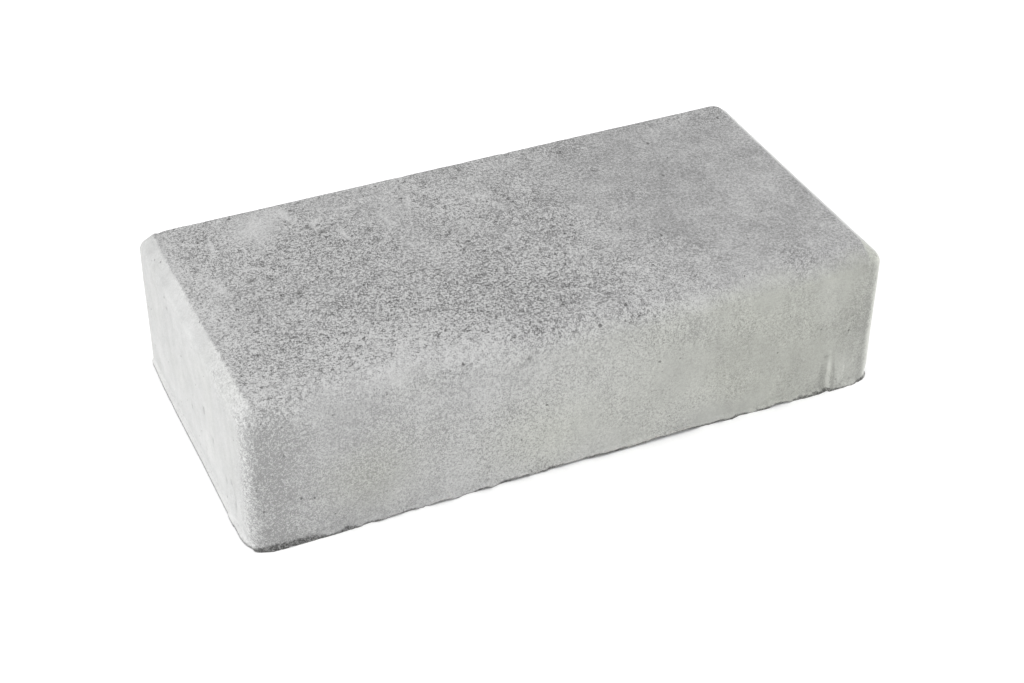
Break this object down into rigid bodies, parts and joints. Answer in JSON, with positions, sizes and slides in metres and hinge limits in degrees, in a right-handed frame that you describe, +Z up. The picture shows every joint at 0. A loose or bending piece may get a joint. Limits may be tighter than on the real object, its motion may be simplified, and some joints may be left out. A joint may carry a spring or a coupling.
{
  "type": "concrete paver",
  "caption": "Rectangular concrete block paver with a chamfered wearing face, rounded corners and small spacer nibs at the foot of its sides.",
  "frame": {"origin": "middle of the bed face, which lies on the ground", "axes": "+X along the length, +Y across the width, +Z up from the bed face to the chamfered wearing face"},
  "size_m": [0.2012, 0.1012, 0.0485],
  "materials": {
    "concrete": "matt pressed concrete, grey: fine pits and pores on the wearing face, smoother walls with faint upright drag marks, rough bed arris"
  },
  "bodies": {
    "root": {"paver": "concrete"}
  },
  "joints": []
}
